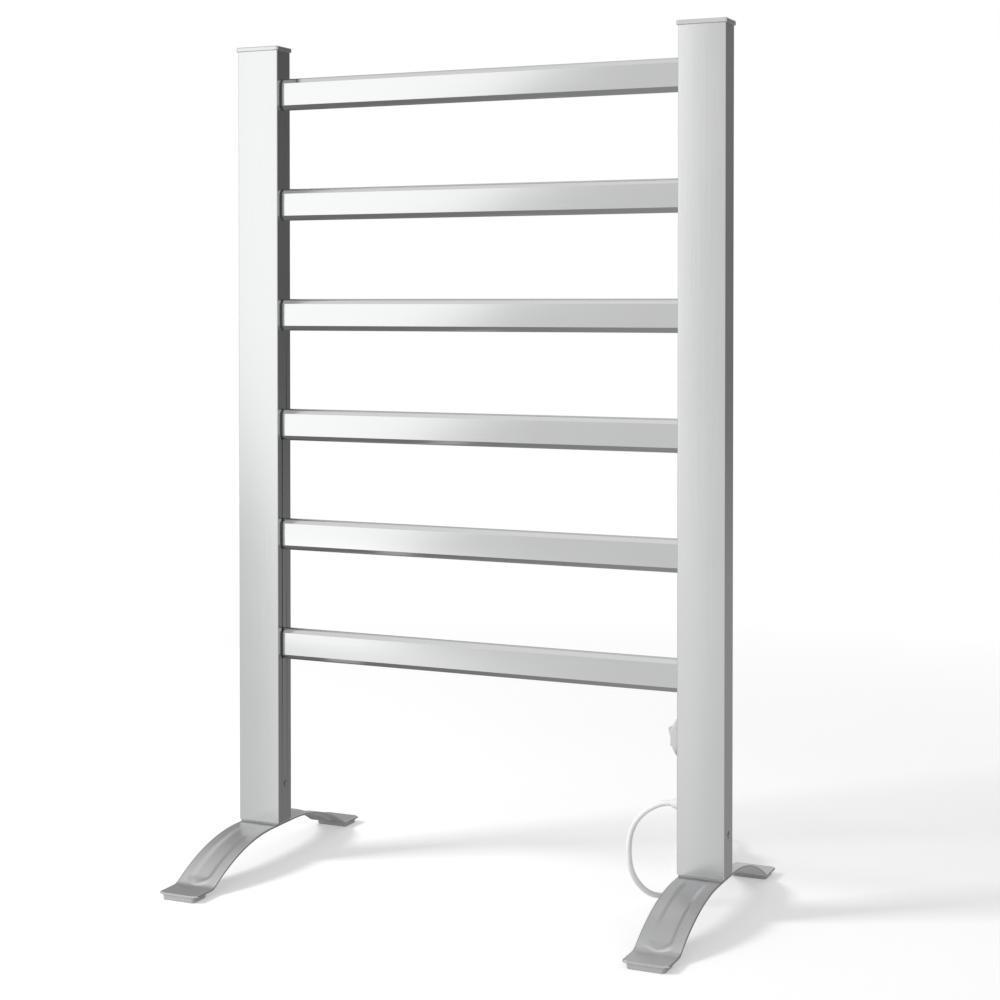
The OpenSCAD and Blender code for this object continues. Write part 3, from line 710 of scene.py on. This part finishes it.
def make_cord(materials):
    route = CORD_ROUTE[:-1]  # its last point is where the hank begins
    route += [hank_point(*p) for p in hank_lanes()]
    route += [hank_point(*p) for p in reversed(TAIL_ROUTE)]
    curve = bpy.data.curves.new("mains_cord", "CURVE")
    curve.dimensions = "3D"
    curve.bevel_depth = CORD_D / 2
    curve.bevel_resolution = 5
    curve.resolution_u = 6
    curve.use_fill_caps = True
    spline = curve.splines.new("NURBS")
    spline.points.add(len(route) - 1)
    for point, (x, y, z) in zip(spline.points, route):
        point.co = (GLAND_TIP.x + x * MM, y * MM, z * MM, 1)
    spline.order_u = 3
    spline.use_endpoint_u = True
    curve.materials.append(materials["cord_pvc"])
    piece = bpy.data.objects.new("mains_cord", curve)
    bpy.context.scene.collection.objects.link(piece)
    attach(piece, RACK)
    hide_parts("cord", "cord_hank", "cord_tail")
    return piece


# ---------------------------------------------------------------- CAD pieces that stay
EDGES = {
    "switch_bezel": 0.5 * MM,
    "switch_rocker": 0.45 * MM,
    "plug_body": 0.6 * MM,
    "plug_pins": 0.15 * MM,
    "plug_strain_relief": 0.25 * MM,
    "cable_gland": 0.35 * MM,
    "hank_tie": 0.3 * MM,
}


def dress_cad(materials):
    """Gives each CAD node the finish of its slot, and rounds the edges that a hand or an eye meets."""
    for name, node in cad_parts.items():
        slot = node.data.materials[0].name.split(".")[0]
        node.data.materials.clear()
        node.data.materials.append(materials[slot])
        if name in EDGES:
            joined = node.modifiers.new("joined", "WELD")
            joined.merge_threshold = 0.01 * MM
            round_edge = node.modifiers.new("round_edge", "BEVEL")
            round_edge.width = EDGES[name]
            round_edge.segments = 3
            round_edge.limit_method = "ANGLE"
            round_edge.angle_limit = math.radians(40)
            round_edge.harden_normals = True


# ---------------------------------------------------------------- studio
# How bright each part of the surroundings is
WORLD_LIGHT = 0.52
CEILING_LEFT = 0.42
CEILING_RIGHT = 0.78
OVERHEAD = 1.25
UNDERNEATH_LEFT = 0.24
UNDERNEATH_RIGHT = 0.46
LEFT_WALL = 0.6
LOW_CARD = 1.6
SCREEN_NEAR = 0.19
SCREEN_FAR = 0.13
SCREEN_LOW_SHARE = 2.0  # the screen is this many times as bright low down
# Where each part or tone starts and where it is full, as the x (right), y (back) or z (up) of a direction
BEHIND_Y = (-0.15, 0.35)
CEILING_Z = (0.9, 0.55)
CEILING_X = (-0.5, -0.27)
OVERHEAD_Z = (0.6, 0.95)
OVERHEAD_Y = (0.3, -0.2)
UNDERNEATH_Z = (-0.3, -0.55)
UNDERNEATH_X = (-0.5, -0.3)
LEFT_WALL_X = (-0.55, -0.8)
LOW_CARD_LEFT_X = (-0.6, -0.47)
LOW_CARD_RIGHT_X = (-0.39, -0.45)
LOW_CARD_TOP_Z = (-0.03, -0.1)
LOW_CARD_FOOT_Z = (-0.42, -0.2)
LOW_CARD_Y = (0.0, -0.3)
SCREEN_LEFT_X = (0.1, 0.27)
SCREEN_RIGHT_X = (0.95, 0.7)
SCREEN_TONE_X = (0.31, 0.5)
SCREEN_LOW_Z = (-0.04, -0.16)

# The floor's reach, its own light to the camera, and how far from the rack it turns to plain white
FLOOR_SIZE = 14.0
FLOOR_LIFT = 0.33
FLOOR_NEAR = 0.75
FLOOR_FAR = 1.7


class Sky(Nodes):
    """The world's node tree: what each direction shows, worked out from the direction itself."""

    def __init__(self, name):
        self.world = bpy.data.worlds.new(name)
        self.world.use_nodes = True
        self.tree = self.world.node_tree
        self.tree.nodes.clear()
        self.output = self.add("ShaderNodeOutputWorld")

    def step(self, value, low, high, start=0.0, end=1.0):
        """Turns smoothly from start to end as the value goes from low to high."""
        ramp = self.add("ShaderNodeMapRange")
        ramp.interpolation_type = "SMOOTHSTEP"
        for socket, number in zip(("From Min", "From Max", "To Min", "To Max"), (low, high, start, end)):
            ramp.inputs[socket].default_value = number
        self.link(value, ramp.inputs["Value"])
        return ramp.outputs["Result"]

    def math(self, operation, a, b):
        node = self.add("ShaderNodeMath")
        node.operation = operation
        self.feed(node.inputs, (a, b))
        return node.outputs[0]

    def all_of(self, *shares):
        """The product of several shares: 1 only where each of them is."""
        product = shares[0]
        for share in shares[1:]:
            product = self.math("MULTIPLY", product, share)
        return product

    def blend(self, share, a, b):
        """a where share is 0 and b where it is 1."""
        node = self.add("ShaderNodeMix")
        self.feed((node.inputs["Factor"], node.inputs["A"], node.inputs["B"]), (share, a, b))
        return node.outputs["Result"]


def make_world():
    """White to the camera. Metal sees a white room that is grey behind and below, with a dark screen on the
    right and a bright card low on the left."""
    sky = Sky("studio")
    bpy.context.scene.world = sky.world
    place = sky.add("ShaderNodeTexCoord")
    split = sky.add("ShaderNodeSeparateXYZ")
    sky.link(place.outputs["Generated"], split.inputs[0])
    x, y, z = split.outputs

    behind = sky.step(y, *BEHIND_Y)
    ceiling = sky.all_of(behind, sky.step(z, *CEILING_Z))
    room = sky.blend(ceiling, 1.0, sky.step(x, *CEILING_X, CEILING_LEFT, CEILING_RIGHT))
    overhead = sky.all_of(sky.step(z, *OVERHEAD_Z), sky.step(y, *OVERHEAD_Y))
    room = sky.blend(overhead, room, OVERHEAD)
    below = sky.step(x, *UNDERNEATH_X, UNDERNEATH_LEFT, UNDERNEATH_RIGHT)
    room = sky.blend(sky.step(z, *UNDERNEATH_Z), room, below)
    room = sky.blend(sky.all_of(behind, sky.step(x, *LEFT_WALL_X)), room, LEFT_WALL)
    low_card = sky.all_of(
        sky.step(x, *LOW_CARD_LEFT_X), sky.step(x, *LOW_CARD_RIGHT_X),
        sky.step(z, *LOW_CARD_TOP_Z), sky.step(z, *LOW_CARD_FOOT_Z), sky.step(y, *LOW_CARD_Y),
    )
    room = sky.blend(low_card, room, LOW_CARD)
    screen = sky.all_of(sky.step(x, *SCREEN_LEFT_X), sky.step(x, *SCREEN_RIGHT_X), behind)
    tone = sky.step(x, *SCREEN_TONE_X, SCREEN_NEAR, SCREEN_FAR)
    tone = sky.all_of(tone, sky.step(z, *SCREEN_LOW_Z, 1.0, SCREEN_LOW_SHARE))
    room = sky.blend(screen, room, tone)

    seen = sky.add("ShaderNodeBackground")
    lit = sky.add("ShaderNodeBackground", Strength=WORLD_LIGHT)
    mirrored = sky.add("ShaderNodeBackground")
    sky.link(room, mirrored.inputs["Strength"])
    for node in (seen, lit, mirrored):
        node.inputs["Color"].default_value = (1, 1, 1, 1)
    path = sky.add("ShaderNodeLightPath")
    shiny = sky.math("MAXIMUM", path.outputs["Is Glossy Ray"], path.outputs["Is Transmission Ray"])
    first = sky.add("ShaderNodeMixShader")
    sky.link(shiny, first.inputs["Fac"])
    sky.link(lit.outputs[0], first.inputs[1])
    sky.link(mirrored.outputs[0], first.inputs[2])
    last = sky.add("ShaderNodeMixShader")
    sky.link(path.outputs["Is Camera Ray"], last.inputs["Fac"])
    sky.link(first.outputs[0], last.inputs[1])
    sky.link(seen.outputs[0], last.inputs[2])
    sky.link(last.outputs[0], sky.output.inputs["Surface"])


def make_floor():
    """A pale matt floor that keeps the shadows near the rack and turns white further out."""
    cells = 8
    bm = bmesh.new()
    bmesh.ops.create_grid(bm, x_segments=cells, y_segments=cells, size=FLOOR_SIZE)
    mesh = bpy.data.meshes.new("floor")
    bm.to_mesh(mesh)
    bm.free()
    floor = bpy.data.objects.new("floor", mesh)
    bpy.context.scene.collection.objects.link(floor)
    n = Nodes("floor")
    matt = n.add("ShaderNodeBsdfDiffuse")
    n.link(n.colours(n.noise(3), (0.80, 0.80, 0.80), (0.81, 0.81, 0.81)), matt.inputs["Color"])
    path = n.add("ShaderNodeLightPath")
    lift = n.add("ShaderNodeEmission")
    n.link(n.span_of(path.outputs["Is Camera Ray"], 0.0, FLOOR_LIFT, 0.0, 1.0), lift.inputs["Strength"])
    near = n.add("ShaderNodeAddShader")
    n.link(matt.outputs[0], near.inputs[0])
    n.link(lift.outputs[0], near.inputs[1])
    far = n.add("ShaderNodeEmission")
    middle = n.add("ShaderNodeTexCoord")
    away = n.add("ShaderNodeVectorMath")
    away.operation = "LENGTH"
    n.link(middle.outputs["Object"], away.inputs[0])
    fade = n.add("ShaderNodeMixShader")
    n.link(n.span_of(away.outputs["Value"], 0.0, 1.0, FLOOR_NEAR, FLOOR_FAR), fade.inputs["Fac"])
    n.link(near.outputs[0], fade.inputs[1])
    n.link(far.outputs[0], fade.inputs[2])
    n.link(fade.outputs[0], n.output.inputs["Surface"])
    mesh.materials.append(n.material)
    floor.visible_glossy = False


def make_lamp(name, place, target, size, radiance, glossy=True, roll=0.0):
    """A rectangular soft lamp of one radiance, turned towards a point and then by roll degrees."""
    data = bpy.data.lights.new(name, "AREA")
    data.shape = "RECTANGLE"
    data.size, data.size_y = size
    data.energy = radiance * math.pi * size[0] * size[1]
    lamp = bpy.data.objects.new(name, data)
    bpy.context.scene.collection.objects.link(lamp)
    lamp.location = place
    aimed = (Vector(target) - Vector(place)).to_track_quat("-Z", "Y")
    lamp.rotation_euler = (aimed @ Quaternion((0, 0, 1), math.radians(roll))).to_euler()
    lamp.visible_glossy = glossy
    lamp.visible_camera = False


def make_studio():
    scene = bpy.context.scene
    scene.view_settings.view_transform = "Standard"
    make_world()
    make_floor()
    # the big soft box in front, on the left, which the faces reflect
    make_lamp(
        "soft_box", place=(-2.26, -2.78, 1.2), target=(0, 0, 1.2), size=(1.86, 2.2), radiance=0.82, roll=-12,
    )
    # the smaller lamp that draws the shadows to the right and back
    make_lamp(
        "key", place=(-2.2, -1.6, 2.3), target=(0, 0, 0.3), size=(0.8, 0.8), radiance=34.0, glossy=False,
    )


# ---------------------------------------------------------------- everything
make_camera()
materials = make_materials()
dress_cad(materials)
cord_piece = make_cord(materials)
for side, prefix in ((-1, "left"), (1, "right")):
    make_post(side, prefix + "_post_tube", materials)
    make_cap(side, materials)
    make_foot(side, materials)
    for end in (-1, 1):
        make_pad(side, end, materials)
for i in range(1, RUNG_COUNT + 1):
    make_rung(i, materials)
make_studio()
